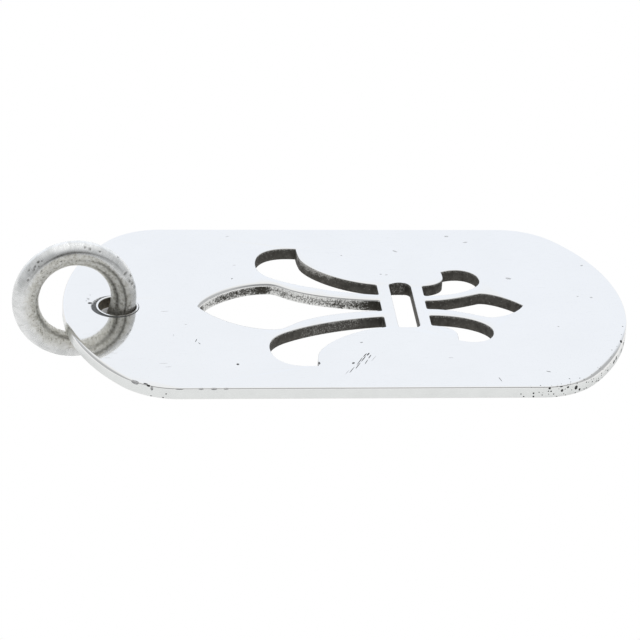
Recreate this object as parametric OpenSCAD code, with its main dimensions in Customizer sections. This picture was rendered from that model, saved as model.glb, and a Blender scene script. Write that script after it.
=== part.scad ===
// Dog tag pendant: a flat silver plate pierced with a lily ornament, and the thick jump ring that it hangs by.
// It lies as set down on a table: the ring stands on its edge and holds that end of the plate up,
// and the far end of the plate touches the table. +Z is up, +X runs from the ring to the far end,
// and the origin is on the table under the middle of the whole.

/* [Plate] */
// Length of the plate
tag_l = 50; // [46:0.5:56]
// Width of the plate
tag_w = 28.4; // [27:0.1:32]
// Thickness of the plate
tag_t = 1.1; // [0.9:0.05:1.6]
// Radius of the blunt arc across each end
end_r = 18.2; // [17:0.1:22]
// Radius that joins an end arc to the long side
corner_r = 6.5; // [4:0.1:8]
// Chamfer round the rim of both faces
rim_chamfer = 0.15; // [0.05:0.01:0.25]
// Slope of the plate from the ring down to the table, in degrees
tag_tilt = 4.2; // [3.8:0.1:4.4]

/* [Hole] */
// Diameter of the hole for the ring
hole_d = 3.7; // [3.6:0.1:4.4]
// Distance from the end of the plate to the middle of the hole
hole_x = 4.8; // [4.6:0.05:5.2]
// Countersink round the hole on both faces
hole_chamfer = 0.12; // [0.05:0.01:0.25]

/* [Ornament] */
// Distance from the ring end to the tip of the long middle leaf
lily_x = 12; // [11:0.5:13.5]
// Size of the ornament against its drawn size
lily_scale = 1; // [0.9:0.01:1.05]
// Radius left by the cutter in the corners of the slot
slot_corner = 0.35; // [0.1:0.05:0.6]

/* [Jump ring] */
// Diameter of the ring's wire
wire_d = 2.2; // [2:0.1:2.3]
// Diameter of the circle along the middle of the wire
ring_d = 8.66; // [8.4:0.05:9]
// How far the wire stands from the middle of the hole, towards the far end of the plate
wire_offset = 0.35; // [0:0.05:0.4]
// How far the ring leans back from upright, in degrees
ring_lean = 5; // [2:1:7]
// How far the ring is turned from the length of the plate, in degrees
ring_turn = 5; // [0:1:7]

/* [Hidden] */

ARC_FN = 192;
WIRE_FN = 64;
CURVE_STEPS = 10;
THROUGH = 1;

// The plate's corner circles touch the end arc from inside, at this angle from the plate's length
corner_y = tag_w / 2 - corner_r;
tangent_angle = asin(corner_y / (end_r - corner_r));
end_centre_x = tag_l - end_r;
corner_x = end_centre_x + (end_r - corner_r) * cos(tangent_angle);

// The ring stands on the table, and its wire passes through the middle of the plate's thickness in the hole.
// Lengths along the table count back from the lower edge of the plate's far end, where it touches the table.
ring_r = ring_d / 2;
wire_r = wire_d / 2;
ring_centre_z = ring_r * cos(ring_lean) + wire_r;
hole_run = tag_l - rim_chamfer - hole_x;
hole_back = hole_run * cos(tag_tilt) - tag_t / 2 * sin(tag_tilt);
hole_z = hole_run * sin(tag_tilt) + tag_t / 2 * cos(tag_tilt);
wire_drop = (ring_centre_z - hole_z) / cos(ring_lean);
wire_out = sqrt(ring_r * ring_r - wire_drop * wire_drop) * cos(ring_turn);
ring_back = hole_back - wire_offset + wire_out;

// The whole is centred on the length from the ring's outer edge to the plate's far end
ring_reach = ring_r * sqrt(1 - pow(cos(ring_lean) * sin(ring_turn), 2)) + wire_r;
far_edge = (tag_t - rim_chamfer) * sin(tag_tilt) + rim_chamfer * cos(tag_tilt);
tip_x = (ring_back + ring_reach - far_edge) / 2;

// The lily is drawn with the tip of its long middle leaf at 12 mm from the ring end.
// Each leaf is one closed line of curves. A row holds one curve, which starts where the last one ended:
// [first handle x, y, second handle x, y, end x, y]. Leaves on the axis are drawn on one side and mirrored.
LILY_DRAWN_X = 12;

SIDE_LEAF_START = [28.2, 1.95];
SIDE_LEAF = [
    [24.6, 2.35, 21.4, 3.4, 19.2, 4.75],
    [18.2, 5.4, 17.6, 6.2, 17.6, 7.4],
    [17.6, 9.3, 18.7, 10.5, 20.7, 10.5],
    [21.0, 10.5, 21.3, 10.5, 21.55, 10.45],
    [21.55, 9.9, 21.6, 9.2, 21.75, 8.45],
    [22.3, 6.6, 25.1, 4.35, 28.2, 3.8]
];

MIDDLE_LEAF_START = [28.15, 1.0];
MIDDLE_LEAF = [
    [25.6, 1.1, 22.2, 1.7, 20.3, 2.95],
    [19.6, 3.4, 19.2, 4.0, 18.3, 4.0],
    [16.0, 4.0, 13.2, 2.3, 12, 0]
];

SHORT_SIDE_LEAF_START = [32.25, 3.55];
SHORT_SIDE_LEAF = [
    [33.2, 3.65, 34.3, 4.1, 34.35, 5.1],
    [34.37, 5.5, 34.35, 5.8, 34.3, 6.1],
    [35.9, 6.95, 37.5, 6.3, 37.6, 4.55],
    [37.3, 2.9, 35.2, 1.75, 32.25, 1.75]
];

SHORT_MIDDLE_LEAF_START = [32.2, 0.9];
SHORT_MIDDLE_LEAF = [
    [34.0, 0.9, 35.3, 1.3, 37.4, 2.1],
    [38.3, 2.2, 39.8, 1.3, 40.9, 0]
];

// Slot between the two bands of the lily: near and far edge along the plate, and half its length across it
SLOT_X0 = 29.3;
SLOT_X1 = 31.25;
SLOT_HALF = 3.85;

// Point at t on the curve from a, with handles b and c, to d
function curve_at(a, b, c, d, t) =
    pow(1 - t, 3) * a + 3 * pow(1 - t, 2) * t * b + 3 * (1 - t) * t * t * c + pow(t, 3) * d;

// Where row i of a table starts
function row_start(start, rows, i) = i == 0 ? start : [rows[i - 1][4], rows[i - 1][5]];

// The points of a line of curves, the start included
function leaf_line(start, rows) = concat([start], [
    for (i = [0 : len(rows) - 1], k = [1 : CURVE_STEPS])
        let (r = rows[i])
        curve_at(row_start(start, rows, i), [r[0], r[1]], [r[2], r[3]], [r[4], r[5]], k / CURVE_STEPS)
]);

// A line from the plate's axis closed with its mirror image
function both_sides(line) = concat(line, [
    for (i = [len(line) - 1 : -1 : 0]) if (abs(line[i][1]) > 0.001) [line[i][0], -line[i][1]]
]);

// Section of the plate through its rim, from the middle out to a rim r away, with both chamfers
function rim_section(r) = [
    [0, 0], [r - rim_chamfer, 0], [r, rim_chamfer],
    [r, tag_t - rim_chamfer], [r - rim_chamfer, tag_t], [0, tag_t]
];

// One end of the plate: the sector under the blunt arc, and a disc in each corner
module plate_end() {
    translate([end_centre_x, 0, 0])
        rotate([0, 0, -tangent_angle])
            rotate_extrude(angle = 2 * tangent_angle, $fn = ARC_FN)
                polygon(rim_section(end_r));
    for (side = [-1, 1])
        translate([corner_x, side * corner_y, 0])
            rotate_extrude($fn = ARC_FN)
                polygon(rim_section(corner_r));
}

// The straight middle of the plate, with its chamfered long sides
module plate_middle() {
    half = rim_section(tag_w / 2);
    section = concat(
        [for (p = half) if (p[0] > 0) p],
        [for (i = [len(half) - 1 : -1 : 0]) if (half[i][0] > 0) [-half[i][0], half[i][1]]]
    );
    translate([tag_l - corner_x, 0, 0])
        rotate([90, 0, 90])
            linear_extrude(2 * corner_x - tag_l)
                polygon(section);
}

module plate_blank() {
    plate_middle();
    plate_end();
    translate([tag_l, 0, 0]) mirror([1, 0, 0]) plate_end();
}

// A hole right through the plate with the outline of the points
module pierce(points) {
    translate([0, 0, -THROUGH])
        linear_extrude(tag_t + 2 * THROUGH)
            polygon(points);
}

module slot_cut() {
    long = 2 * (SLOT_HALF - slot_corner);
    translate([0, 0, -THROUGH])
        linear_extrude(tag_t + 2 * THROUGH) {
            translate([SLOT_X0 + slot_corner, -SLOT_HALF])
                square([SLOT_X1 - SLOT_X0 - 2 * slot_corner, 2 * SLOT_HALF]);
            translate([SLOT_X0, -long / 2])
                square([SLOT_X1 - SLOT_X0, long]);
            for (x = [SLOT_X0 + slot_corner, SLOT_X1 - slot_corner], side = [-1, 1])
                translate([x, side * long / 2]) circle(slot_corner, $fn = 32);
        }
}

module lily_cuts() {
    translate([lily_x, 0, 0]) scale(lily_scale) translate([-LILY_DRAWN_X, 0, 0]) {
        for (side = [0, 1]) mirror([0, side, 0]) {
            pierce(leaf_line(SIDE_LEAF_START, SIDE_LEAF));
            pierce(leaf_line(SHORT_SIDE_LEAF_START, SHORT_SIDE_LEAF));
        }
        pierce(both_sides(leaf_line(MIDDLE_LEAF_START, MIDDLE_LEAF)));
        pierce(both_sides(leaf_line(SHORT_MIDDLE_LEAF_START, SHORT_MIDDLE_LEAF)));
        slot_cut();
    }
}

// The drilled hole with its countersinks
module ring_hole() {
    hole_r = hole_d / 2;
    translate([hole_x, 0, -THROUGH]) cylinder(r = hole_r, h = tag_t + 2 * THROUGH, $fn = ARC_FN);
    translate([hole_x, 0, tag_t - hole_chamfer])
        cylinder(r1 = hole_r, r2 = hole_r + 2 * hole_chamfer, h = 2 * hole_chamfer, $fn = ARC_FN);
    translate([hole_x, 0, -hole_chamfer])
        cylinder(r1 = hole_r + 2 * hole_chamfer, r2 = hole_r, h = 2 * hole_chamfer, $fn = ARC_FN);
}

module tag_plate() {
    color("silver")
        translate([tip_x, 0, 0])
            rotate([0, tag_tilt, 0])
                translate([rim_chamfer - tag_l, 0, 0])
                    difference() {
                        plate_blank();
                        ring_hole();
                        lily_cuts();
                    }
}

module jump_ring() {
    color("lightgray")
        translate([tip_x - ring_back, 0, ring_centre_z])
            rotate([90 - ring_lean, 0, ring_turn])
                rotate_extrude($fn = ARC_FN)
                    translate([ring_r, 0]) circle(wire_r, $fn = WIRE_FN);
}

tag_plate();
jump_ring();
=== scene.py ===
import math
import random

import bpy
from mathutils import Matrix, Vector


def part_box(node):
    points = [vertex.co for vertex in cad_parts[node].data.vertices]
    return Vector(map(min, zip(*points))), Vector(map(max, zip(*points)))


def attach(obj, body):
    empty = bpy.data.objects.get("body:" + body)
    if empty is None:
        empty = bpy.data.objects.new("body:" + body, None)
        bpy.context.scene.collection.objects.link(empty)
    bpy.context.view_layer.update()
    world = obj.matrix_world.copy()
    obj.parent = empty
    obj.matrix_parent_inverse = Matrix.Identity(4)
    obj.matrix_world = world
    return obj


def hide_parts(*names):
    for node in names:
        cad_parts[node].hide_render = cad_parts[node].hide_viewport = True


MM = 0.001

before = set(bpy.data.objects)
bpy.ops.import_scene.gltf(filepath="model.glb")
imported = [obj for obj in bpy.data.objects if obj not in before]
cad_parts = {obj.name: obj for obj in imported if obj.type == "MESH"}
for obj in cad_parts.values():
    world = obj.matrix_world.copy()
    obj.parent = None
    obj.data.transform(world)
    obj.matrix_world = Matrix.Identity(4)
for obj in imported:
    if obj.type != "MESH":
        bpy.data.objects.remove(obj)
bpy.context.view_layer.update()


# Camera
# The pendant is seen from its long side through a long lens, 30 degrees above the table.
# The camera stands a little to the ring's side and is hardly rolled.
camera_aim = Vector((-0.165, -0.41, 1.85)) * MM
camera_reach = 322 * MM
camera_elevation = math.radians(30)
camera_azimuth = math.radians(-5.21)
camera_roll = math.radians(-1.155)
# Both in mm, as Blender counts them
camera_sensor = 36
camera_lens = 204.7

bpy.ops.object.camera_add()
camera = bpy.context.object
camera.name = "camera"
camera.data.sensor_width = camera_sensor
camera.data.lens = camera_lens
camera_turn = (
    Matrix.Rotation(camera_azimuth, 4, "Z")
    @ Matrix.Rotation(math.radians(90) - camera_elevation, 4, "X")
    @ Matrix.Rotation(camera_roll, 4, "Z")
)
camera_place = camera_aim + camera_turn.to_3x3() @ Vector((0, 0, camera_reach))
camera.matrix_world = Matrix.Translation(camera_place) @ camera_turn
bpy.context.scene.camera = camera
bpy.context.scene.view_settings.view_transform = "Standard"


# Table
# A white light table. It glows evenly, so to the camera it is pure white and without a shadow. In the
# narrow gap under the tag's ring end, which the camera sees through the ring hole, a painted shadow takes
# its glow away: a soft dark spot, so that it stays dark there.
def add_node(tree, kind, inputs=None, **settings):
    """A new node with its settings made, and with each input set to a value or linked to an output."""
    node = tree.nodes.new(kind)
    for key, value in settings.items():
        setattr(node, key, value)
    for key, value in (inputs or {}).items():
        if isinstance(value, bpy.types.NodeSocket):
            tree.links.new(value, node.inputs[key])
        else:
            node.inputs[key].default_value = value
    return node


def maths(tree, operation, first, second=0.0):
    """One sum on two values."""
    return add_node(tree, "ShaderNodeMath", {0: first, 1: second}, operation=operation).outputs[0]


def between(tree, value, low, high, start=0.0, end=1.0):
    """Goes smoothly from start to end while the value goes from low to high, and is level outside that."""
    inputs = {"Value": value, "From Min": low, "From Max": high, "To Min": start, "To Max": end}
    return add_node(tree, "ShaderNodeMapRange", inputs, interpolation_type="SMOOTHSTEP").outputs[0]


def own_place(tree):
    """The place on the object, in its own coordinates."""
    return add_node(tree, "ShaderNodeTexCoord").outputs["Object"]


def away_from(tree, place, point):
    """How far a place is from a point."""
    inputs = {0: place, 1: point}
    return add_node(tree, "ShaderNodeVectorMath", inputs, operation="DISTANCE").outputs["Value"]


table_size = 3.0
table_white = (1.0, 1.0, 1.0, 1)
table_glow = 0.57
table_grey = (0.25, 0.25, 0.25, 1)
gap_centre = Vector((-17.3, 6.7, 0)) * MM
gap_inner = 0.8 * MM
gap_outer = 5.0 * MM

bpy.ops.mesh.primitive_plane_add(size=table_size)
table = bpy.context.object
table.name = "table"
table_top = bpy.data.materials.new("table_top")
table_top.use_nodes = True
tree = table_top.node_tree
tree.nodes.remove(tree.nodes["Principled BSDF"])
# A painted shadow: the glow and the camera's white fade out in a soft spot round this centre
in_the_open = between(tree, away_from(tree, own_place(tree), gap_centre), gap_inner, gap_outer)
seen = maths(tree, "MULTIPLY", add_node(tree, "ShaderNodeLightPath").outputs["Is Camera Ray"], in_the_open)
pale = add_node(tree, "ShaderNodeBsdfDiffuse", {"Color": table_grey}).outputs[0]
inputs = {"Color": table_white, "Strength": maths(tree, "MULTIPLY", in_the_open, table_glow)}
glowing = add_node(tree, "ShaderNodeEmission", inputs).outputs[0]
glowing = add_node(tree, "ShaderNodeAddShader", {0: pale, 1: glowing}).outputs[0]
bright = add_node(tree, "ShaderNodeEmission", {"Color": table_white}).outputs[0]
both = add_node(tree, "ShaderNodeMixShader", {0: seen, 1: glowing, 2: bright}).outputs[0]
tree.links.new(both, tree.nodes["Material Output"].inputs["Surface"])
table.data.materials.append(table_top)


# Studio light
# A bright backdrop stands behind the pendant and a bright ceiling hangs over it. The sides are greyer, and
# the side of the camera is greyer still, with a pale apron at the height of the table.
def blend(tree, share, first, second):
    """A colour mixed of two."""
    colours = [(*c, 1) if isinstance(c, tuple) else c for c in (first, second)]
    inputs = {0: share, 6: colours[0], 7: colours[1]}
    return add_node(tree, "ShaderNodeMix", inputs, data_type="RGBA").outputs[2]


backdrop_white = (0.89, 0.93, 1.0)
ceiling_white = (0.90, 0.905, 0.91)
side_grey = (0.47, 0.48, 0.49)
front_grey = (0.28, 0.285, 0.29)
apron_white = (0.72, 0.725, 0.73)
# Where each starts and where it is full: how far to that side a line of length 1 reaches
front_zone = (0.3, 0.7)
apron_zone = (0.2, 0.8)
apron_fade = (0.05, 0.25)
backdrop_zone = (0.5, 0.8)
ceiling_zone = (0.65, 1.0)
ceiling_lean = 0.3
# A large soft lamp hangs above and behind. The metal doesn't mirror it.
lamp_place = Vector((0.05, 0.35, 0.7))
lamp_size = 0.5
lamp_power = 4.0

world = bpy.data.worlds.new("studio")
bpy.context.scene.world = world
world.use_nodes = True
tree = world.node_tree
direction = add_node(tree, "ShaderNodeTexCoord").outputs["Generated"]
split = add_node(tree, "ShaderNodeSeparateXYZ", {0: direction})
back = split.outputs["Y"]
front = maths(tree, "MULTIPLY", back, -1)
up = split.outputs["Z"]
room = blend(tree, between(tree, front, *front_zone), side_grey, front_grey)
low_down = between(tree, up, *apron_fade, 1.0, 0.0)
apron = maths(tree, "MULTIPLY", between(tree, front, *apron_zone), low_down)
room = blend(tree, apron, room, apron_white)
room = blend(tree, between(tree, back, *backdrop_zone), room, backdrop_white)
overhead = maths(tree, "ADD", up, maths(tree, "MULTIPLY", back, ceiling_lean))
room = blend(tree, between(tree, overhead, *ceiling_zone), room, ceiling_white)
seen = add_node(tree, "ShaderNodeLightPath").outputs["Is Camera Ray"]
tree.links.new(blend(tree, seen, room, table_white[:3]), tree.nodes["Background"].inputs["Color"])

bpy.ops.object.light_add(type="AREA", location=lamp_place)
lamp = bpy.context.object
lamp.name = "soft_lamp"
lamp.data.shape = "DISK"
lamp.data.size = lamp_size
lamp.data.energy = lamp_power
lamp.rotation_euler = lamp_place.to_track_quat("Z", "Y").to_euler()
lamp.visible_camera = False
lamp.visible_glossy = False


# Tag plate
# One flat plate of polished silver with blunt rounded ends, a pierced lily and a hole for the ring. It was
# sawn out, its edges were softened, and its faces were polished to a mirror. It is modelled flat, with its
# ring end at x 0 and its underside at z 0, and then tilted into its place.
tag_length = 50 * MM
tag_width = 28.4 * MM
tag_thickness = 1.1 * MM
end_radius = 18.2 * MM
corner_radius = 6.5 * MM
rim_softening = 0.15 * MM
tag_tilt = math.radians(4.2)
corner_steps = 28
end_steps = 56
outline_weld = 0.002 * MM

corner_y = tag_width / 2 - corner_radius
tangent_angle = math.asin(corner_y / (end_radius - corner_radius))
end_centre_x = tag_length - end_radius
corner_x = end_centre_x + (end_radius - corner_radius) * math.cos(tangent_angle)

# The ring holds the near end of the plate off the table, and the far end's lower edge rests on it.
plate_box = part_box("tag_plate")
far_overhang = (tag_thickness - rim_softening) * math.sin(tag_tilt) + rim_softening * math.cos(tag_tilt)
plate_place = (
    Matrix.Translation((plate_box[1].x - far_overhang, 0, 0))
    @ Matrix.Rotation(tag_tilt, 4, "Y")
    @ Matrix.Translation((rim_softening - tag_length, 0, 0))
)


def deselect_all():
    if bpy.context.object and bpy.context.object.mode != "OBJECT":
        bpy.ops.object.mode_set(mode="OBJECT")
    bpy.ops.object.select_all(action="DESELECT")


def take(piece):
    """Makes this the only selected object and the active one."""
    deselect_all()
    piece.select_set(True)
    bpy.context.view_layer.objects.active = piece


def apply_place():
    """Takes the active object's place, turn and size into its mesh."""
    bpy.ops.object.transform_apply(location=True, rotation=True, scale=True)


def arc(centre, angle, steps):
    """Carries the outline on from its last point round a centre, to the left."""
    bpy.ops.mesh.spin(steps=steps, angle=-angle, center=(*centre, 0), axis=(0, 0, 1))


def straight(length):
    """Carries the outline on from its last point along x."""
    bpy.ops.mesh.extrude_region_move(TRANSFORM_OT_translate={"value": (length, 0, 0)})


# The outline starts as one point on the near side and is carried along each side and round each end
deselect_all()
bpy.ops.mesh.primitive_plane_add(size=MM, location=(tag_length - corner_x, -tag_width / 2, 0))
plate = bpy.context.object
plate.name = "silver_plate"
bpy.ops.object.mode_set(mode="EDIT")
bpy.ops.mesh.select_mode(type="VERT")
bpy.ops.mesh.select_all(action="SELECT")
bpy.ops.mesh.merge(type="CENTER")
corner_angle = math.radians(90) - tangent_angle
for end in (1, -1):
    centre_of_corners = corner_x if end > 0 else tag_length - corner_x
    centre_of_end = end_centre_x if end > 0 else tag_length - end_centre_x
    straight(end * (2 * corner_x - tag_length))
    arc((centre_of_corners, -end * corner_y), corner_angle, corner_steps)
    arc((centre_of_end, 0), 2 * tangent_angle, end_steps)
    arc((centre_of_corners, end * corner_y), corner_angle, corner_steps)
bpy.ops.mesh.select_all(action="SELECT")
bpy.ops.mesh.remove_doubles(threshold=outline_weld)
bpy.ops.mesh.edge_face_add()
bpy.ops.mesh.extrude_region_move(TRANSFORM_OT_translate={"value": (0, 0, tag_thickness)})
bpy.ops.mesh.select_all(action="SELECT")
bpy.ops.mesh.normals_make_consistent(inside=False)
bpy.ops.object.mode_set(mode="OBJECT")
apply_place()


# Pierced lily
# Seven cut-outs were sawn through the plate for the lily: three long leaves, a slot between two bands, and
# three short leaves. Their walls were left unpolished and have gone dark. The slot's far end is arched
# towards the face.

# A leaf is one closed line of curves, in mm from the ring end: where it starts, and a row for each curve
# with its first handle x, y, second handle x, y and end x, y. A middle leaf is drawn in two halves.
side_leaf = ([28.2, 1.95], [
    [24.6, 2.35, 21.4, 3.4, 19.2, 4.75],
    [18.2, 5.4, 17.6, 6.2, 17.6, 7.4],
    [17.6, 9.3, 18.7, 10.5, 20.7, 10.5],
    [21.0, 10.5, 21.3, 10.5, 21.55, 10.45],
    [21.55, 9.9, 21.6, 9.2, 21.75, 8.45],
    [22.3, 6.6, 25.1, 4.35, 28.2, 3.8],
])
middle_leaf = ([28.15, 1.0], [
    [25.6, 1.1, 22.2, 1.7, 20.3, 2.95],
    [19.6, 3.4, 19.2, 4.0, 18.3, 4.0],
    [16.0, 4.0, 13.2, 2.3, 12, 0],
])
short_side_leaf = ([32.25, 3.55], [
    [33.2, 3.65, 34.3, 4.1, 34.35, 5.1],
    [34.37, 5.5, 34.35, 5.8, 34.3, 6.1],
    [35.9, 6.95, 37.55, 6.25, 37.6, 4.6],
    [37.6, 3.1, 35.4, 1.75, 32.25, 1.75],
])
short_middle_leaf = ([32.2, 0.9], [
    [34.0, 0.9, 35.2, 1.35, 37.25, 2.15],
    [38.2, 2.25, 39.8, 1.3, 40.9, 0],
])
# The near halves of the two middle leaves came out narrower in the stem, and the short one's tip blunter
near_middle_leaf = ([28.15, 0.85], [
    [25.6, 0.9, 22.2, 1.65, 20.3, 2.95],
    [19.6, 3.4, 19.2, 4.0, 18.3, 4.0],
    [16.0, 4.0, 13.2, 2.3, 12, 0],
])
near_short_middle_leaf = ([32.2, 0.62], [
    [34.0, 0.62, 35.4, 1.2, 37.4, 2.1],
    [38.3, 2.3, 40.15, 1.55, 40.9, 0],
])
slot_size = Vector((1.95, 7.7, 3)) * MM
slot_centre = Vector((30.275, 0, 0.55)) * MM
slot_corner = 0.18 * MM
slot_round_corner = 0.5 * MM
slot_arch = 0.33 * MM
slot_arch_steps = 10
slot_corner_steps = 6
band_sides = (28.2 * MM, 32.2 * MM)
beside_band = 0.1 * MM
leaf_corner = 0.2 * MM
round_handle = 0.55
steps_per_curve = 14
curve_weld = 0.001 * MM
nearly = 0.01 * MM
cutter_reach = 1.5 * tag_thickness
# The values that clouds mostly stay between, and the share of a patch that is at its full strength
cloud_range = (0.3, 0.7)
patch_core = 0.3


def new_material(name):
    """A material of one Principled shader; returns it with its node tree and the shader."""
    material = bpy.data.materials.new(name)
    material.use_nodes = True
    return material, material.node_tree, material.node_tree.nodes["Principled BSDF"]


def knots_of(drawing, side):
    """The knots of a leaf's line on one side of the tag: place, handle before, handle after."""
    start, rows = drawing
    places = [start] + [row[4:6] for row in rows]
    before = [start] + [row[2:4] for row in rows]
    after = [row[0:2] for row in rows] + [rows[-1][4:6]]
    return [
        [Vector((x, side * y, 0)) * MM for x, y in knot]
        for knot in zip(places, before, after)
    ]


def with_round_corners(knots):
    """The same line with its sharp corners beside the bands turned into small rounds of two knots each."""
    line = []
    for index, (place, before, after) in enumerate(knots):
        if all(abs(place.x - x) > beside_band for x in band_sides):
            line.append([place, before, after])
            continue
        last = knots[index - 1][0]
        following = knots[(index + 1) % len(knots)][0]
        way_in = (place - (last if before == place else before)).normalized() * leaf_corner
        way_out = ((following if after == place else after) - place).normalized() * leaf_corner
        start = place - way_in
        end = place + way_out
        line.append([start, start if before == place else before, start + way_in * round_handle])
        line.append([end, end - way_out * round_handle, end if after == place else after])
    return line


def leaf_cutter(name, knots, material):
    """A closed line of curves, filled and made thick enough to cut right through the plate."""
    knots = with_round_corners(knots)
    deselect_all()
    bpy.ops.curve.primitive_bezier_curve_add()
    curve = bpy.context.object
    curve.data.dimensions = "2D"
    curve.data.fill_mode = "BOTH"
    curve.data.extrude = cutter_reach
    curve.data.resolution_u = steps_per_curve
    line = curve.data.splines[0]
    line.bezier_points.add(len(knots) - 2)
    line.use_cyclic_u = True
    for point, (place, before, after) in zip(line.bezier_points, knots):
        point.handle_left_type = point.handle_right_type = "FREE"
        point.co, point.handle_left, point.handle_right = place, before, after
    bpy.ops.object.convert(target="MESH")
    cutter = bpy.context.object
    cutter.name = name
    bpy.ops.object.mode_set(mode="EDIT")
    bpy.ops.mesh.select_all(action="SELECT")
    bpy.ops.mesh.remove_doubles(threshold=curve_weld)
    bpy.ops.mesh.normals_make_consistent(inside=False)
    bpy.ops.object.mode_set(mode="OBJECT")
    cutter.data.materials.clear()
    cutter.data.materials.append(material)
    return cutter


def mirrored(knots):
    """The same line on the other side of the tag's middle, run the other way."""
    flip = Vector((1, -1, 1))
    return [[place * flip, after * flip, before * flip] for place, before, after in reversed(knots)]


def whole_leaf(far_drawing, near_drawing):
    """Both halves of a leaf that lies on the tag's middle. They share its tip."""
    far = knots_of(far_drawing, 1)
    near = mirrored(knots_of(near_drawing, 1))
    far[-1][2] = near[0][2]
    return far + near[1:]


def clouds(tree, place, size, detail=3.0, roughness=0.6):
    """Soft random spots of about this size, from 0 to 1."""
    inputs = {"Vector": place, "Scale": 1 / size, "Detail": detail, "Roughness": roughness}
    return add_node(tree, "ShaderNodeTexNoise", inputs).outputs["Fac"]


def varied(tree, spots, low, high):
    """From low to high over the range of clouds."""
    return between(tree, spots, *cloud_range, low, high)


def ramp(tree, value, *stops):
    """Turns a value into a colour. Each stop is a place from 0 to 1 and a grey or a colour."""
    node = add_node(tree, "ShaderNodeValToRGB", {"Fac": value})
    row = node.color_ramp.elements
    while len(row) < len(stops):
        row.new(0.5)
    for element, (place, colour) in zip(row, stops):
        element.position = place
        element.color = (*colour, 1) if isinstance(colour, tuple) else (colour, colour, colour, 1)
    return node.outputs["Color"]


def finish_shader(tree, shader, colour, roughness, bump, depth, metallic=1.0):
    """Gives a surface its colour, its roughness and a fine relief of this depth."""
    relief = add_node(tree, "ShaderNodeBump", {"Height": bump, "Distance": depth, "Strength": 1.0})
    tree.links.new(colour, shader.inputs["Base Color"])
    tree.links.new(roughness, shader.inputs["Roughness"])
    tree.links.new(relief.outputs[0], shader.inputs["Normal"])
    shader.inputs["Metallic"].default_value = metallic


def on_plate(tree):
    """The place on the plate as it was before its tilt: x from its ring end, z up from its underside."""
    back = plate_place.inverted()
    inputs = {"Vector": own_place(tree), "Location": back.translation, "Rotation": back.to_euler()}
    return add_node(tree, "ShaderNodeMapping", inputs).outputs[0]


def patches(tree, place, rows, strength):
    """This strength in the middle of each patch, 0 past its radius. A row is x, y, z and radius in mm."""
    total = 0.0
    for *middle, radius in rows:
        away = away_from(tree, place, Vector(middle) * MM)
        patch = between(tree, away, patch_core * radius * MM, radius * MM, 1.0, 0.0)
        total = maths(tree, "MAXIMUM", patch, total)
    return maths(tree, "MULTIPLY", total, strength)


# Black-brown oxide, as it came from the saw and the pickle, with metal showing through in specks. More of
# them show by the face and in the far side leaf's hook, and some in the near side leaf and the slot's end.
rubbed_spots = [
    [21.65, 9.3, 1.1, 0.9], [21.9, 8.2, 1.1, 0.9], [22.3, 7.4, 1.1, 0.9], [22.8, 6.7, 1.1, 0.9],
    [23.4, 6.15, 1.1, 0.8], [24.0, 5.65, 1.1, 0.7],
]
faint_spots = [
    [21.3, -3.8, 0.3, 0.9], [22.1, -3.5, 0.4, 0.9], [22.9, -3.2, 0.2, 0.9], [23.7, -2.9, 0.6, 0.9],
    [24.5, -2.7, 0.5, 0.9], [25.4, -2.4, 0.7, 0.9], [29.75, 3.9, 0.5, 0.5], [30.5, 4.0, 0.5, 0.5],
]
# How much more metal shows in the spots and by the face, and how far down from the face
rubbed_strength = 0.19
faint_strength = 0.10
face_strength = 0.14
rubbed_depth = 0.35 * MM
rubbed_metal = (0.60, 0.59, 0.56)

dark_oxide, tree, shader = new_material("dark_oxide")
place = on_plate(tree)
stain = clouds(tree, place, 0.6 * MM)
grain = clouds(tree, place, 0.12 * MM, 4, 0.7)
colour = blend(
    tree, grain,
    ramp(tree, stain, (0.3, (0.042, 0.038, 0.031)), (0.7, (0.095, 0.088, 0.074))),
    ramp(tree, stain, (0.3, (0.060, 0.055, 0.046)), (0.75, (0.17, 0.162, 0.145))),
)
speckled = patches(tree, place, rubbed_spots, rubbed_strength)
speckled = maths(tree, "ADD", speckled, patches(tree, place, faint_spots, faint_strength))
height = add_node(tree, "ShaderNodeSeparateXYZ", {0: place}).outputs["Z"]
by_the_face = between(tree, height, tag_thickness - rubbed_depth, tag_thickness, 0.0, face_strength)
speckled = maths(tree, "ADD", speckled, by_the_face)
bare = between(tree, maths(tree, "ADD", grain, speckled), 0.56, 0.80)
colour = blend(tree, bare, colour, rubbed_metal)
finish_shader(tree, shader, colour, varied(tree, grain, 0.5, 0.75), grain, 0.02 * MM, 0.35)

# The same oxide in the long middle leaf, rubbed through to the bright metal, most towards both faces. A
# row is a place along the leaf, from its tip to the band, and how far the metal shows there.
rubbed_along = (
    (0.0, 0.38), (0.015, 0.40), (0.03, 0.60), (0.085, 0.58), (0.12, 0.48), (0.31, 0.46), (0.355, 0.35),
    (0.385, 0.36), (0.42, 0.55), (0.60, 0.56), (0.74, 0.53), (0.79, 0.45), (0.82, 0.51), (0.87, 0.48),
    (0.91, 0.43), (0.945, 0.35), (0.97, 0.28),
)
leaf_tip = 12.0 * MM
leaf_end = band_sides[0]
leaf_oxide = (0.062, 0.058, 0.048)
leaf_metal = (0.95, 0.95, 0.93)

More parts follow.
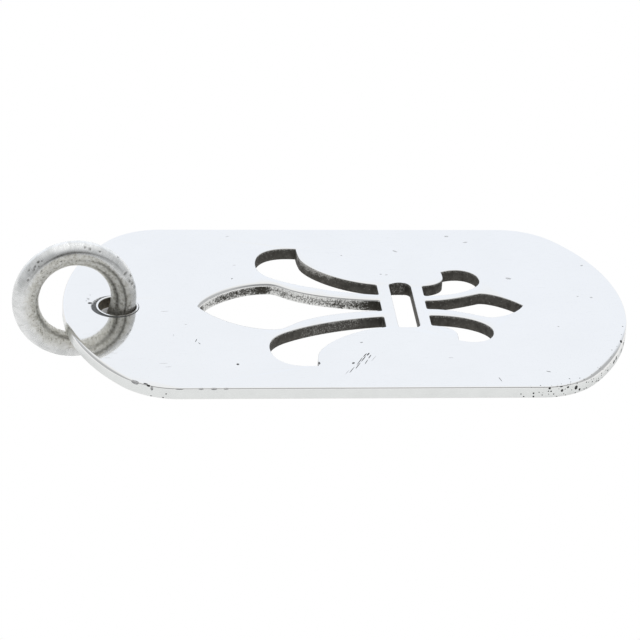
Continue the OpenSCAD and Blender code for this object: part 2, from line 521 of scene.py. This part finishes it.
rubbed_oxide, tree, shader = new_material("rubbed_oxide")
place = on_plate(tree)
split = add_node(tree, "ShaderNodeSeparateXYZ", {0: place})
inputs = {"Value": split.outputs["X"], "From Min": leaf_tip, "From Max": leaf_end}
along = add_node(tree, "ShaderNodeMapRange", inputs).outputs[0]
rubbed = ramp(tree, along, *rubbed_along)
towards_face = between(tree, split.outputs["Z"], 0.55 * MM, 0.9 * MM, -0.02, 0.07)
towards_back = between(tree, split.outputs["Z"], 0.0, 0.35 * MM, 0.09, 0.0)
grain = clouds(tree, place, 0.16 * MM, 4, 0.75)
bare = maths(tree, "ADD", grain, rubbed)
bare = maths(tree, "ADD", bare, maths(tree, "ADD", towards_face, towards_back))
bare = between(tree, bare, 0.90, 1.15)
colour = blend(tree, bare, leaf_oxide, leaf_metal)
finish_shader(tree, shader, colour, between(tree, bare, 0, 1, 0.6, 0.35), grain, 0.02 * MM, 0.7)

cutters = [
    leaf_cutter("middle_leaf", whole_leaf(middle_leaf, near_middle_leaf), rubbed_oxide),
    leaf_cutter("short_middle_leaf", whole_leaf(short_middle_leaf, near_short_middle_leaf), dark_oxide),
]
for side in (1, -1):
    cutters.append(leaf_cutter("side_leaf", knots_of(side_leaf, side), dark_oxide))
    cutters.append(leaf_cutter("short_side_leaf", knots_of(short_side_leaf, side), dark_oxide))


def pick(piece, kind, wanted):
    """Goes into edit mode with only the wanted edges or faces of the piece selected."""
    bpy.ops.object.mode_set(mode="EDIT")
    bpy.ops.mesh.select_mode(type=kind)
    bpy.ops.mesh.select_all(action="DESELECT")
    bpy.ops.object.mode_set(mode="OBJECT")
    for part in piece.data.edges if kind == "EDGE" else piece.data.polygons:
        part.select = wanted(part)
    bpy.ops.object.mode_set(mode="EDIT")


def slot_upright(edge, side):
    """Whether an edge of the slot's cutter runs through the plate on this side of the slot."""
    low, high = (slot_cutter.data.vertices[i].co for i in edge.vertices)
    on_side = side * (low.x - slot_centre.x) > slot_size.x / 2 - nearly
    return on_side and abs(low.z - high.z) > tag_thickness


deselect_all()
bpy.ops.mesh.primitive_cube_add(size=1, location=slot_centre, scale=slot_size)
slot_cutter = bpy.context.object
apply_place()
for side, radius in ((-1, slot_corner), (1, slot_round_corner)):
    pick(slot_cutter, "EDGE", lambda edge: slot_upright(edge, side))
    bpy.ops.mesh.bevel(offset=radius, segments=slot_corner_steps, affect="EDGES")
for step in range(1, slot_arch_steps):
    bpy.ops.mesh.select_all(action="SELECT")
    off_middle = Vector((slot_size.x * (step / slot_arch_steps - 0.5), 0, 0))
    bpy.ops.mesh.bisect(plane_co=slot_centre + off_middle, plane_no=(1, 0, 0))
bpy.ops.object.mode_set(mode="OBJECT")
for vertex in slot_cutter.data.vertices:
    off_middle = (vertex.co.x - slot_centre.x) / (slot_size.x / 2)
    if vertex.co.y > 0:
        vertex.co.y += slot_arch * (1 - off_middle ** 2) * vertex.co.z / tag_thickness
bpy.ops.object.mode_set(mode="EDIT")
bpy.ops.mesh.select_all(action="SELECT")
bpy.ops.mesh.quads_convert_to_tris()
bpy.ops.object.mode_set(mode="OBJECT")
slot_cutter.data.materials.append(dark_oxide)
cutters.append(slot_cutter)


def join(pieces, name):
    """Several objects made one."""
    deselect_all()
    for piece in pieces:
        piece.select_set(True)
    bpy.context.view_layer.objects.active = pieces[0]
    bpy.ops.object.join()
    pieces[0].name = name
    return pieces[0]


def cut(piece, cutter):
    """Cuts the shape of one object out of another and leaves the cutter's material on the new walls."""
    take(piece)
    modifier = piece.modifiers.new("cut", "BOOLEAN")
    modifier.operation = "DIFFERENCE"
    modifier.solver = "MANIFOLD"
    modifier.material_mode = "TRANSFER"
    modifier.object = cutter
    bpy.ops.object.modifier_apply(modifier=modifier.name)
    bpy.data.objects.remove(cutter)


def hairlines(tree, place, turn, length, width, share):
    """Straight fine scratches in one direction, 1 on a scratch and 0 beside it."""
    inputs = {
        "Vector": place,
        "Rotation": (0, 0, math.radians(turn)),
        "Scale": (1 / length, 1 / width, 1 / length),
    }
    drawn = add_node(tree, "ShaderNodeMapping", inputs).outputs[0]
    inputs = {"Vector": drawn, "Scale": 1.0, "Detail": 1.0}
    lines = add_node(tree, "ShaderNodeTexNoise", inputs).outputs["Fac"]
    return ramp(tree, lines, (1 - share, 0.0), (1 - share + 0.02, 1.0))


# Mirror polish with the hairlines and the faint haze of wear. The hairlines run four ways: a row is their
# turn in degrees, length in mm, and share of the face.
hairline_sets = ((4, 2.0, 0.27), (63, 1.2, 0.26), (-38, 1.6, 0.25), (88, 0.9, 0.25))
hairline_width = 0.05 * MM
hairline_depth = 0.0004 * MM
hairline_grey = (0.90, 0.90, 0.89)

polished_silver, tree, shader = new_material("polished_silver")
place = own_place(tree)
haze = clouds(tree, place, 6 * MM)
lines = 0.0
for turn, length, share in hairline_sets:
    more = hairlines(tree, place, turn, length * MM, hairline_width, share)
    lines = maths(tree, "MAXIMUM", more, lines)
colour = ramp(tree, haze, (0.3, (0.945, 0.942, 0.930)), (0.7, (0.965, 0.962, 0.950)))
colour = blend(tree, lines, colour, hairline_grey)
duller = between(tree, lines, 0, 1, 0, 0.08)
roughness = maths(tree, "ADD", varied(tree, haze, 0.045, 0.075), duller)
finish_shader(tree, shader, colour, roughness, lines, -hairline_depth)

# The rim is satin rather than mirror, with a fine grain
satin_rim, tree, shader = new_material("satin_rim")
place = own_place(tree)
wear = clouds(tree, place, 1.2 * MM)
grain = clouds(tree, place, 0.08 * MM, 2)
colour = ramp(tree, wear, (0.3, (0.83, 0.845, 0.835)), (0.7, (0.88, 0.895, 0.885)))
finish_shader(tree, shader, colour, varied(tree, wear, 0.14, 0.24), grain, 0.002 * MM)
plate.data.materials.append(polished_silver)
plate.data.materials.append(satin_rim)
cut(plate, join(cutters, "lily_cutter"))


# Ring hole
# A drilled hole near the end carries the ring. Years of wear have pressed a shallow seat round it, widest
# towards the end, and have burnished a bright lip between the seat and the bore. Grime has stayed in both,
# and the seat also carries a painted dark reflection of the ring that its slope would mirror.
hole_radius = 1.68 * MM
hole_centre = Vector((4.8, 0, 0.55)) * MM
lip_radius = 1.86 * MM
seat_centre = Vector((4.59, -0.12, 1.1)) * MM
seat_size = Vector((2.13, 1.98, 0.10)) * MM
# The seat is painted dark, as grime and as a painted reflection of the dark ring, up to the first distance
# from this place, and bright from the second
seat_dark = Vector((4.8, -0.35, 1.1)) * MM
seat_dark_inner = 1.85 * MM
seat_dark_outer = 2.6 * MM
seat_metal = (0.80, 0.80, 0.79)
round_steps = 96
drill_length = 3 * MM


def mottled(name, size, dark, light, smooth, rough, depth, metallic=1.0):
    """A material with soft spots of this size, between two greys or colours and two roughnesses."""
    material, tree, shader = new_material(name)
    stain = clouds(tree, own_place(tree), size)
    colour = ramp(tree, stain, (0.3, dark), (0.7, light))
    finish_shader(tree, shader, colour, varied(tree, stain, smooth, rough), stain, depth, metallic)
    return material


# Brown-black grime in the bore
hole_grime = mottled(
    "hole_grime", 0.4 * MM, dark=(0.05, 0.042, 0.030), light=(0.25, 0.22, 0.17),
    smooth=0.5, rough=0.7, depth=0.02 * MM, metallic=0.4,
)

# Grey grime and a painted dark reflection of the ring over worn metal in the seat, thinning out away from
# the lip and on the far side
seat_grime, tree, shader = new_material("seat_grime")
place = on_plate(tree)
stain = clouds(tree, place, 0.22 * MM, 4, 0.7)
away = away_from(tree, place, seat_dark)
thin = maths(tree, "ADD", between(tree, away, seat_dark_inner, seat_dark_outer, -0.2, 0.55), stain)
colour = ramp(tree, stain, (0.3, 0.05), (0.7, (0.20, 0.205, 0.205)))
colour = blend(tree, between(tree, thin, 0.66, 1.0), colour, seat_metal)
finish_shader(tree, shader, colour, varied(tree, stain, 0.3, 0.45), stain, 0.01 * MM, 0.85)


def post(radius, material):
    """A round bar through the hole's place, to cut with."""
    deselect_all()
    bpy.ops.mesh.primitive_cylinder_add(
        vertices=round_steps, radius=radius, depth=drill_length, location=hole_centre,
    )
    bar = bpy.context.object
    bar.data.materials.append(material)
    return bar


deselect_all()
bpy.ops.mesh.primitive_uv_sphere_add(
    segments=round_steps, ring_count=round_steps // 3, radius=1, location=seat_centre, scale=seat_size,
)
seat = bpy.context.object
apply_place()
seat.data.materials.append(seat_grime)
seat.data.materials.append(polished_silver)
cut(seat, post(lip_radius, polished_silver))
cut(plate, seat)
cut(plate, post(hole_radius, hole_grime))


# Softened edges
# The rim was rounded off, most at the ring end and at the far end's near corner, and less below. The edges
# of the hole and the cut-outs were broken more finely, and the long middle leaf's are worn rounder, most
# towards its tip. Below, the cut-outs' edges are still as sharp as the saw left them.
rim_round = 0.125 * MM
rim_under_round = 0.09 * MM
far_corner_round = 0.42 * MM
ring_end_round = 0.30 * MM
hole_round = 0.065 * MM
worn_tip_round = 0.30 * MM
worn_leaf_round = 0.165 * MM
cut_round = 0.06 * MM
widest_round = far_corner_round
softening_steps = 4
# Where the wider rounding starts and where it is full, along the plate and across it
far_corner_along = (43 * MM, 47 * MM)
far_corner_across = (-3 * MM, -7 * MM)
ring_end_along = (6 * MM, 3 * MM)
ring_end_across = (9 * MM, 2 * MM)
worn_tip_along = (21 * MM, 18 * MM)
lip_reach = 1.02 * lip_radius
lip_foot = 0.9 * tag_thickness
# How much of a face's normal may point up on a wall, and has to on a flat face
upright_limit = 0.05
flat_limit = 0.95


def slot_of(piece, material):
    return piece.data.materials.find(material.name)


def upright(face):
    return abs(face.normal.z) < upright_limit


def flat(face):
    return abs(face.normal.z) > flat_limit


def step_between(start, full, value):
    """Goes smoothly from 0 to 1 while the value goes, up or down, from start to full."""
    share = min(1.0, max(0.0, (value - start) / (full - start)))
    return share * share * (3 - 2 * share)


def softening_at(wall, face):
    """How far the edge is rounded where this wall of the plate meets this face."""
    if wall.material_index == slot_of(plate, hole_grime):
        return hole_round
    if face.center.z < tag_thickness / 2:
        return rim_under_round if wall.material_index == slot_of(plate, polished_silver) else 0
    x, y = wall.center.xy
    if wall.material_index == slot_of(plate, polished_silver):
        far_corner = step_between(*far_corner_along, x) * step_between(*far_corner_across, y)
        ring_end = step_between(*ring_end_along, x) * step_between(*ring_end_across, y)
        more = (far_corner_round - rim_round) * far_corner + (ring_end_round - rim_round) * ring_end
        return rim_round + more
    if wall.material_index == slot_of(plate, rubbed_oxide):
        return worn_leaf_round + (worn_tip_round - worn_leaf_round) * step_between(*worn_tip_along, x)
    return cut_round


def on_lip(wall):
    """Whether a wall belongs to the low lip round the hole, whose edges stay crisp."""
    return (wall.center.xy - hole_centre.xy).length < lip_reach and wall.center.z > lip_foot


def faces_by_edge(piece):
    """The two faces beside each edge."""
    beside = {key: [] for key in piece.data.edge_keys}
    for face in piece.data.polygons:
        for key in face.edge_keys:
            beside[key].append(face)
    return beside


beside = faces_by_edge(plate)
weights = plate.data.attributes.new("bevel_weight_edge", "FLOAT", "EDGE")
for edge in plate.data.edges:
    wall, face = sorted(beside[edge.key], key=lambda face: abs(face.normal.z))
    if upright(wall) and flat(face) and not on_lip(wall):
        weights.data[edge.index].value = softening_at(wall, face) / widest_round
take(plate)
softening = plate.modifiers.new("softening", "BEVEL")
softening.limit_method = "WEIGHT"
softening.width = widest_round
softening.segments = softening_steps
softening.use_clamp_overlap = False
softening.loop_slide = False
softening.material = slot_of(plate, polished_silver)
bpy.ops.object.modifier_apply(modifier=softening.name)

for face in plate.data.polygons:
    if face.material_index == slot_of(plate, polished_silver) and upright(face) and not on_lip(face):
        face.material_index = slot_of(plate, satin_rim)


wide_face = 1.0 * MM * MM
level_limit = 0.0001 * MM


def level(face, height):
    """Whether a face lies flat at this height."""
    return flat(face) and abs(face.center.z - height) < level_limit


def fill_again(piece, height):
    """Replaces the flat faces at this height by well shaped ones, and splits the widest of them."""
    take(piece)
    pick(piece, "FACE", lambda face: level(face, height))
    bpy.ops.mesh.delete(type="FACE")
    bpy.ops.mesh.select_mode(type="EDGE")
    bpy.ops.mesh.select_all(action="DESELECT")
    bpy.ops.mesh.select_non_manifold(
        extend=False, use_wire=False, use_boundary=True, use_multi_face=False, use_non_contiguous=False,
        use_verts=False,
    )
    bpy.ops.mesh.fill(use_beauty=True)
    piece.active_material_index = slot_of(piece, polished_silver)
    bpy.ops.object.material_slot_assign()
    bpy.ops.mesh.select_all(action="SELECT")
    bpy.ops.mesh.normals_make_consistent(inside=False)
    pick(piece, "FACE", lambda face: level(face, height) and face.area > wide_face)
    bpy.ops.mesh.poke()
    bpy.ops.object.mode_set(mode="OBJECT")


fill_again(plate, tag_thickness)
fill_again(plate, 0)


# Knocks and scratches
# The tag has been worn for years: dull scuffs and grimy scratches on its face, nicks along the near edge,
# and a crop of small pits round the far end of the near rim. Each is a shallow cut with its own finish.

# Rows of scuffs and scratches: place x and y from the ring end, length and width in mm, turn in degrees
scuffs = [
    [35.7, 12.85, 0.42, 0.26, 0],
    [37.3, 11.7, 0.50, 0.18, 20],
    [30.6, 10.0, 0.55, 0.20, -40],
    [25.6, 9.2, 0.20, 0.16, 0],
    [28.8, 5.7, 0.20, 0.18, 0],
    [29.3, 5.6, 0.26, 0.16, 15],
    [40.3, 4.9, 0.55, 0.34, -20],
    [47.4, 7.3, 0.32, 0.18, 40],
    [47.3, 1.4, 0.30, 0.18, 0],
    [46.1, 1.6, 0.20, 0.14, 0],
    [43.5, -3.8, 0.18, 0.16, 0],
    [33.2, -9.2, 0.45, 0.08, 0],
    [15.5, 12.8, 0.45, 0.08, 25],
    [15.7, 7.4, 0.35, 0.08, 0],
    [10.6, -3.3, 0.30, 0.07, 0],
    [8.9, -1.0, 0.70, 0.06, 0],
    [8.2, -10.0, 0.80, 0.06, 0],
    [8.6, -10.6, 0.60, 0.06, 5],
    [26.45, -9.3, 1.00, 0.06, 60],
    [23.9, -11.6, 0.90, 0.05, 60],
    [9.4, -5.2, 0.45, 0.05, 80],
    [2.30, 1.25, 0.24, 0.34, 20],
    [2.12, 0.9, 0.14, 0.16, 0],
    [2.5, 1.95, 0.12, 0.14, 0],
]
scratches = [
    [41.4, -11.6, 0.45, 0.09, -20],
    [37.0, -12.9, 0.80, 0.06, -75],
    [25.7, -6.5, 0.30, 0.10, 10],
    [26.05, -8.55, 0.55, 0.15, 62],
    [25.76, -8.71, 0.70, 0.11, 60],
    [26.15, -8.95, 0.70, 0.09, 64],
    [25.55, -9.35, 1.10, 0.09, 62],
    [25.75, -9.85, 0.90, 0.07, 66],
    [25.19, -9.72, 1.50, 0.08, 64],
    [24.95, -10.5, 1.20, 0.08, 63],
    [24.6, -10.05, 0.34, 0.22, 55],
    [24.35, -11.2, 1.20, 0.07, 62],
    [15.3, 4.9, 0.24, 0.10, 70],
    [11.3, -6.1, 0.60, 0.07, 72],
    [11.55, -6.6, 0.35, 0.07, -60],
    [14.6, -10.2, 0.26, 0.30, 0],
    # This row is a painted shadow line beside the near side leaf's barb, cut as a dark scratch
    [21.62, -10.05, 0.24, 0.50, 0],
    [2.42, 0.50, 0.40, 0.34, 20],
]
# Rows of nicks along the near rim: place along it, inset onto the face, height, length and width, in mm.
# A nick goes a third of its width into the rim.
rim_nicks = [
    [6.33, 0.12, 1.10, 0.44, 0.24],
    [6.63, 0.03, 1.03, 0.36, 0.22],
    [6.9, 0.00, 0.10, 0.16, 0.10],
    [7.95, 0.00, 0.12, 0.15, 0.11],
    [8.2, 0.00, 0.50, 0.13, 0.12],
    [9.3, 0.00, 1.02, 0.90, 0.08],
    [38.65, 0.00, 0.40, 0.10, 0.15],
    [38.9, 0.00, 0.15, 0.15, 0.10],
    [39.5, 0.00, 1.05, 0.15, 0.09],
    [39.75, 0.00, 0.15, 0.17, 0.19],
    [40.5, 0.00, 0.30, 0.13, 0.10],
    [41.1, 0.00, 0.95, 0.24, 0.22],
    [41.25, 0.00, 0.65, 0.17, 0.15],
    [41.8, 0.00, 0.08, 0.17, 0.11],
    [42.15, 0.00, 1.03, 0.34, 0.15],
    [42.25, 0.00, 0.62, 0.26, 0.28],
    [42.8, 0.00, 0.85, 0.24, 0.20],
    [43.6, 0.00, 0.10, 0.15, 0.12],
    [43.65, 0.00, 0.62, 0.34, 0.42],
    [44.05, 0.00, 0.32, 0.22, 0.26],
    [45.65, 0.00, 0.50, 0.18, 0.13],
    [46.75, 0.00, 0.12, 0.22, 0.17],
    [48.45, 0.00, 0.35, 0.22, 0.16],
    [49.85, 0.00, 0.50, 0.40, 0.36],
    [50.45, 0.00, 0.55, 0.36, 0.42],
    [52.2, 0.00, 0.40, 0.30, 0.46],
    [53.05, 0.00, 0.60, 0.42, 0.32],
    [52.7, 0.15, 1.10, 0.48, 0.42],
]
# The same rows for the grey smudges where the near edge has been bruised
rim_scuffs = [
    [5.35, 0.04, 1.00, 0.80, 0.40],
    [6.95, 0.00, 0.84, 0.24, 0.40],
    [11.15, 0.02, 1.04, 0.50, 0.20],
    [12.25, 0.02, 1.04, 0.54, 0.26],
    [13.28, 0.02, 1.04, 0.46, 0.20],
]
scuff_depth = 0.008 * MM
scratch_depth = 0.02 * MM
# The pits lie between two places along the rim and most thickly at the third, on the rim or on the face
pit_count = 80
pits_start = 38 * MM
pits_end = 56 * MM
pits_middle = 44 * MM
pits_on_rim = 0.6
pit_heights = (0.1, 1.05)
pit_inset = 0.25
pit_radius_low = 0.03 * MM
pit_radius_high = 0.08 * MM
pit_stretch = (0.8, 1.3)
pit_gap = 0.12 * MM
chance = random.Random(11)

# Dull worn silver in the scuffs
scuffed_silver = mottled(
    "scuffed_silver", 0.15 * MM, dark=0.52, light=0.72, smooth=0.3, rough=0.4, depth=0.005 * MM,
)

# Dark grime in the scratches, nicks and pits, and a painted shadow line by the near side leaf's barb
pit_grime = mottled(
    "pit_grime", 0.1 * MM, dark=0.05, light=0.20, smooth=0.4, rough=0.6, depth=0.01 * MM, metallic=0.6,
)


def peck(place, size, turn=0.0, material=pit_grime, detail=2):
    """A small lens-shaped cutter of this half length, half width and half height."""
    deselect_all()
    bpy.ops.mesh.primitive_ico_sphere_add(
        subdivisions=detail, radius=1, location=place, rotation=(0, 0, turn), scale=size,
    )
    cutter = bpy.context.object
    apply_place()
    cutter.data.materials.append(material)
    return cutter


def near_rim(along, inset=0.0):
    """A point on the near rim, counted as x on its straight side, and the way that the rim runs there."""
    left_start = tag_length - corner_x
    corner_length = corner_radius * corner_angle
    if along < left_start:
        centre, reach, turn = (left_start, -corner_y), corner_radius, (along - left_start) / corner_radius
    elif along < corner_x:
        centre, reach, turn = (along, -corner_y), corner_radius, 0.0
    elif along < corner_x + corner_length:
        centre, reach, turn = (corner_x, -corner_y), corner_radius, (along - corner_x) / corner_radius
    else:
        turn = corner_angle + (along - corner_x - corner_length) / end_radius
        centre, reach = (end_centre_x, 0), end_radius
    reach -= inset
    return Vector((centre[0] + reach * math.sin(turn), centre[1] - reach * math.cos(turn), 0)), turn


top = Vector((0, 0, tag_thickness))
marks = []
face_marks = ((scuffs, scuff_depth, scuffed_silver), (scratches, scratch_depth, pit_grime))
for rows, depth, material in face_marks:
    for x, y, length, width, turn in rows:
        place = Vector((x, y, 0)) * MM + top
        size = Vector((length / 2 * MM, width / 2 * MM, depth))
        marks.append(peck(place, size, math.radians(turn), material))
taken = []
for rows, material in ((rim_nicks, pit_grime), (rim_scuffs, scuffed_silver)):
    for along, inset, height, length, width in rows:
        place, turn = near_rim(along * MM, inset * MM)
        place += Vector((0, 0, height * MM))
        taken.append((place, length / 2 * MM))
        size = Vector((length / 2, width / 3, width / 2)) * MM
        marks.append(peck(place, size, turn, material))
pits = 0
while pits < pit_count:
    along = chance.triangular(pits_start, pits_end, pits_middle)
    inset = abs(chance.gauss(0, pit_inset)) * MM
    radius = chance.uniform(pit_radius_low, pit_radius_high)
    if chance.random() < pits_on_rim:
        place = near_rim(along)[0] + Vector((0, 0, chance.uniform(*pit_heights))) * MM
    else:
        place = near_rim(along, inset)[0] + top
    if all((place - other).length > reach + pit_gap for other, reach in taken):
        taken.append((place, pit_radius_high))
        size = Vector((radius, radius, radius)) * chance.uniform(*pit_stretch)
        marks.append(peck(place, size, detail=1))
        pits += 1
cut(plate, join(marks, "knocks"))


# The plate's place
# The finished plate hangs on the ring and rests its far end on the table. Its polished faces are kept flat
# in the shading, also round the marks, so that they mirror like flat metal.
smooth_angle = math.radians(32)


def set_down(piece, place):
    """Moves a finished piece to its place, which goes into its mesh."""
    piece.matrix_world = place
    take(piece)
    apply_place()


marked = {slot_of(plate, scuffed_silver), slot_of(plate, pit_grime)}
beside = faces_by_edge(plate)
for edge in plate.data.edges:
    edge.use_edge_sharp = len({face.material_index in marked for face in beside[edge.key]}) == 2
set_down(plate, plate_place)
bpy.ops.object.shade_smooth_by_angle(angle=smooth_angle)
even = plate.modifiers.new("even", "WEIGHTED_NORMAL")
even.mode = "FACE_AREA"
even.weight = 100
even.keep_sharp = True
bpy.ops.object.modifier_apply(modifier=even.name)
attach(plate, "root")
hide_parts("tag_plate")


# Jump ring
# One thick closed ring of round silver wire, cast and soldered shut. Its outside is worn satin. Its
# inside, where no polishing wheel reached, keeps the grain of the casting, tarnish and dark grooves. It is
# modelled lying flat round z, with the camera's side up, and then stood in its place.
ring_radius = 4.33 * MM
wire_radius = 1.1 * MM
ring_lean = math.radians(5)
ring_turn = math.radians(5)
ring_steps = 400
wire_steps = 160
# Angles are in degrees: along the ring from its right side upwards, and round the wire from its outside.
# Rows of the tarnish: angle along, and the angles round where it starts and where it is full
tarnish_zone = [
    [-180, 40, 134], [-150, 46, 132], [-110, 58, 132], [-70, 54, 118], [-20, 34, 92], [0, 26, 90],
    [18, 40, 92], [32, 76, 92], [60, 70, 82], [90, 66, 74], [113, 68, 78], [130, 64, 96], [150, 56, 112],
    [180, 40, 134],
]
# Rows of the grooves full of dark grime: angle along, angle round of the middle, half width, and strength
crown_groove = [
    [-180, 60, 4, 0], [22, 56, 6, 0], [38, 57, 6, 0.35], [62, 63, 6, 0.45], [80, 64, 8, 0.9],
    [92, 64, 11, 1], [108, 66, 10, 1], [118, 66, 7, 0.7], [130, 67, 7, 0.4], [150, 70, 6, 0.2],
    [165, 70, 6, 0], [180, 60, 4, 0],
]
lower_groove = [
    [-180, 84, 9, 0], [-60, 84, 9, 0], [-30, 84, 9, 0.9], [16, 90, 12, 1], [53, 95, 10, 0.8],
    [66, 99, 8, 0.4], [84, 101, 7, 0], [180, 100, 5, 0],
]
inner_groove = [
    [-180, 144, 16, 0.6], [-150, 143, 18, 0.8], [-132, 142, 14, 0.5], [-112, 140, 17, 0.85],
    [-80, 137, 16, 0.6], [-40, 124, 18, 0.9], [0, 129, 20, 1], [40, 132, 18, 0.9], [62, 131, 12, 0.5],
    [90, 132, 9, 0.3], [130, 143, 12, 0.4], [180, 144, 16, 0.6],
]
groove_depth = 0.035 * MM
# Painted shadow where the wire stands in the tag's hole, under the plate: angle along of its middle, half
# width, and strength
hole_stain = (-24, 15, 0.9)
# Rows of nicks: angle along and angle round, and half their size the same two ways
nicks = [
    [62, 43, 1.8, 7], [72.3, 43, 1.3, 14], [76.8, 38, 1.2, 12], [42, 14, 1.8, 9], [126, 43, 2, 8],
    [131, 50, 2, 7], [8, 20, 2.2, 25], [13, 40, 1.8, 12], [20, 28, 1.8, 12], [17, 50, 2.0, 10],
    [27, 50, 1.3, 18], [138, 40, 1.8, 6], [134, 56, 1.5, 6], [128, 60, 1.5, 5], [122, 50, 1.2, 5],
    [129, 84, 1.6, 6], [146, 62, 2, 6], [104, 94, 2, 6],
]
nick_depth = 0.06 * MM
nick_grime = 1.8
grain_size = 0.28 * MM
grain_depth = 0.05 * MM
fine_grain_size = grain_size / 2.5
fine_grain_depth = grain_depth / 2
grain_level = 0.9
# The wire swells a little at the ring's left and right. A zone is the angle along, counted up or down from
# the right side, where the swelling starts and where it is full.
left_swell = 0.07 * MM
left_swell_zone = (100, 170)
right_swell = 0.045 * MM
right_swell_zone = (70, 10)

deselect_all()
bpy.ops.mesh.primitive_torus_add(
    major_radius=ring_radius, minor_radius=wire_radius,
    major_segments=ring_steps, minor_segments=wire_steps,
)
ring = bpy.context.object
ring.name = "wire_ring"


def row_at(table, along):
    """The values of a table at this angle along the ring, between its rows."""
    for (low, *first), (high, *second) in zip(table, table[1:]):
        if low <= along <= high:
            share = (along - low) / (high - low)
            return [a + (b - a) * share for a, b in zip(first, second)]


def hump(distance, half_width):
    """1 in the middle, falling smoothly to 0 at the half width."""
    return 1 - step_between(0, half_width, abs(distance))


for name in ("inside", "grooves", "nicks", "left", "right"):
    ring.vertex_groups.new(name=name)
ring.data.attributes.new("tarnish", "FLOAT", "POINT")
ring.data.attributes.new("grime", "FLOAT", "POINT")
ring.data.attributes.new("wound", "FLOAT_VECTOR", "POINT")
for vertex in ring.data.vertices:
    x, y, z = vertex.co
    along = math.degrees(math.atan2(y, x))
    around = abs(math.degrees(math.atan2(z, math.hypot(x, y) - ring_radius)))
    inside = step_between(*row_at(tarnish_zone, along), around)
    groove = 0
    for table in (crown_groove, lower_groove, inner_groove):
        middle, half_width, strength = row_at(table, along)
        groove = max(groove, strength * hump(around - middle, half_width))
    nick = max(hump(along - a, da) * hump(around - b, db) for a, b, da, db in nicks) if z > 0 else 0
    # The painted shadow on the wire where it goes down under the plate
    middle, half_width, strength = hole_stain
    stain = strength * hump(along - middle, half_width)
    notes = ring.data.attributes
    notes["tarnish"].data[vertex.index].value = inside
    notes["grime"].data[vertex.index].value = max(groove, stain, min(1, nick_grime * nick))
    flat_place = Vector((x, y)).normalized() * ring_radius
    notes["wound"].data[vertex.index].vector = (*flat_place, math.radians(around) * wire_radius)
    left = step_between(*left_swell_zone, abs(along))
    right = step_between(*right_swell_zone, abs(along))
    for group, weight in zip(ring.vertex_groups, (inside, groove, nick, left, right)):
        group.add([vertex.index], weight, "REPLACE")


def displace(piece, group, depth, size=None):
    """Moves the surface of a group out by this depth, evenly or with a grain of this size."""
    modifier = piece.modifiers.new("displace", "DISPLACE")
    modifier.vertex_group = group
    modifier.strength = depth
    modifier.mid_level = 0.0
    if size:
        texture = bpy.data.textures.new("casting_grain", "CLOUDS")
        texture.noise_scale = size
        texture.noise_depth = 2
        modifier.texture = texture
        modifier.texture_coords = "LOCAL"
        modifier.mid_level = grain_level
    bpy.ops.object.modifier_apply(modifier=modifier.name)


displace(ring, "left", left_swell)
displace(ring, "right", right_swell)
displace(ring, "inside", grain_depth, grain_size)
displace(ring, "inside", fine_grain_depth, fine_grain_size)
displace(ring, "grooves", -groove_depth)
displace(ring, "nicks", -nick_depth)

# Satin silver outside with brush marks round the wire, speckled tarnish inside, grime in the grooves, and
# a painted shadow where the wire stands in the tag's hole
tarnish_tan = (
    (0.34, (0.18, 0.17, 0.14)), (0.43, (0.64, 0.63, 0.57)), (0.52, (0.80, 0.79, 0.74)),
    (0.64, (0.95, 0.95, 0.92)),
)
satin_white = ((0.35, (0.79, 0.80, 0.795)), (0.6, (0.95, 0.955, 0.95)))
brush_grey = (0.62, 0.63, 0.61)
brush_stretch = (1, 1, 0.12)
groove_grime = (0.10, 0.095, 0.08)

worn_silver, tree, shader = new_material("worn_silver")
place = own_place(tree)
inside = add_node(tree, "ShaderNodeAttribute", attribute_name="tarnish").outputs["Fac"]
groove = add_node(tree, "ShaderNodeAttribute", attribute_name="grime").outputs["Fac"]
round_wire = add_node(tree, "ShaderNodeAttribute", attribute_name="wound").outputs["Vector"]
round_wire = add_node(tree, "ShaderNodeMapping", {"Vector": round_wire, "Scale": brush_stretch}).outputs[0]
brushed = clouds(tree, round_wire, 0.22 * MM, 3)
spots = clouds(tree, place, 0.5 * MM, 4)
grain = clouds(tree, place, 0.24 * MM, 5, 0.75)
wander = maths(tree, "MULTIPLY", maths(tree, "SUBTRACT", spots, 0.5), 1.2)
rough = between(tree, maths(tree, "ADD", inside, wander), 0.1, 0.9)
satin = ramp(tree, clouds(tree, place, 0.9 * MM), *satin_white)
satin = blend(tree, between(tree, brushed, 0.34, 0.5, 0.4, 0.0), satin, brush_grey)
colour = blend(tree, rough, satin, ramp(tree, grain, *tarnish_tan))
# The grime colour also paints the shadow where the wire stands in the tag's hole
patchy = maths(tree, "MULTIPLY", groove, between(tree, grain, 0.3, 0.6, 1.0, 0.72))
colour = blend(tree, patchy, colour, groove_grime)
roughness = between(tree, rough, 0, 1, 0.27, 0.42)
roughness = maths(tree, "ADD", roughness, varied(tree, brushed, 0.03, -0.03))
relief = maths(tree, "ADD", maths(tree, "MULTIPLY", grain, rough), maths(tree, "MULTIPLY", brushed, 0.12))
finish_shader(tree, shader, colour, roughness, relief, 0.02 * MM, 0.6)
ring.data.materials.append(worn_silver)

# It stands on the table, leans back and is turned a little from the tag's length
ring_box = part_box("jump_ring")
ring_middle_x = (ring_box[0].x + ring_box[1].x) / 2
ring_place = (
    Matrix.Translation((ring_middle_x, 0, ring_radius * math.cos(ring_lean) + wire_radius))
    @ Matrix.Rotation(ring_turn, 4, "Z")
    @ Matrix.Rotation(math.radians(90) - ring_lean, 4, "X")
)
set_down(ring, ring_place)
bpy.ops.object.shade_smooth()
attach(ring, "root")
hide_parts("jump_ring")
